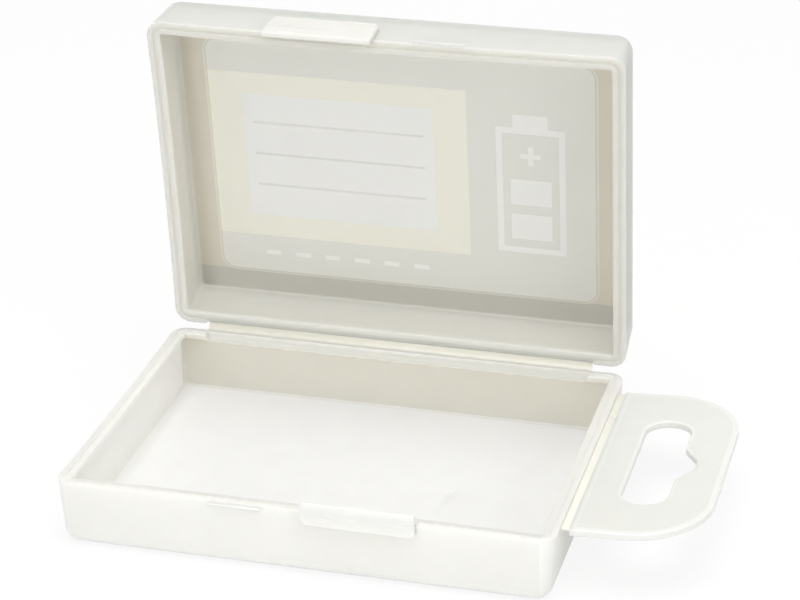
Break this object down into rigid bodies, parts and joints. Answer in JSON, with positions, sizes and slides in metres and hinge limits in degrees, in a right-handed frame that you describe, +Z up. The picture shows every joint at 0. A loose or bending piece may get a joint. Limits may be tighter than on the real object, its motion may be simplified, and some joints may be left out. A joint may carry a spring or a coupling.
{
  "type": "hinged battery storage box",
  "caption": "Shallow translucent plastic box with a hinged lid, snap tongues and a hanging tab with a retail slot, for spare camera batteries.",
  "frame": {"origin": "centre of the flat underside that the tray rests on", "axes": "+X to the right along the long side, towards the hanging tab; +Y to the back, towards the lid's hinge; +Z up"},
  "size_m": [0.1144, 0.0788, 0.0807],
  "materials": {
    "tray_plastic": "translucent natural polypropylene, satin",
    "lid_plastic": "translucent natural polypropylene, satin",
    "tab_plastic": "translucent natural polypropylene, frosted",
    "web_plastic": "translucent natural polypropylene, thin and bright",
    "label_film": "printed self-adhesive film, matt"
  },
  "bodies": {
    "base": {"base_tray": "tray_plastic", "base_clasp": "tray_plastic", "base_catch_bead": "tray_plastic", "lid_hinge_web": "web_plastic", "tab_hinge_web": "web_plastic"},
    "lid": {"lid_shell": "lid_plastic", "lid_clasp": "lid_plastic", "lid_catch_bead": "lid_plastic", "lid_label": "label_film"},
    "tab": {"hang_tab": "tab_plastic"}
  },
  "joints": [
    {"name": "lid_hinge", "type": "hinge", "parent": "base", "child": "lid", "pos_m": [0, 0.03355, 0.0131], "axis": [-1, 0, 0], "range_deg": [-82.6, 97.4], "deforming": ["lid_hinge_web"]},
    {"name": "tab_hinge", "type": "hinge", "parent": "base", "child": "tab", "pos_m": [0.04573, 0, 0.01153], "axis": [0, -1, 0], "range_deg": [-88, 82], "deforming": ["tab_hinge_web"]}
  ]
}
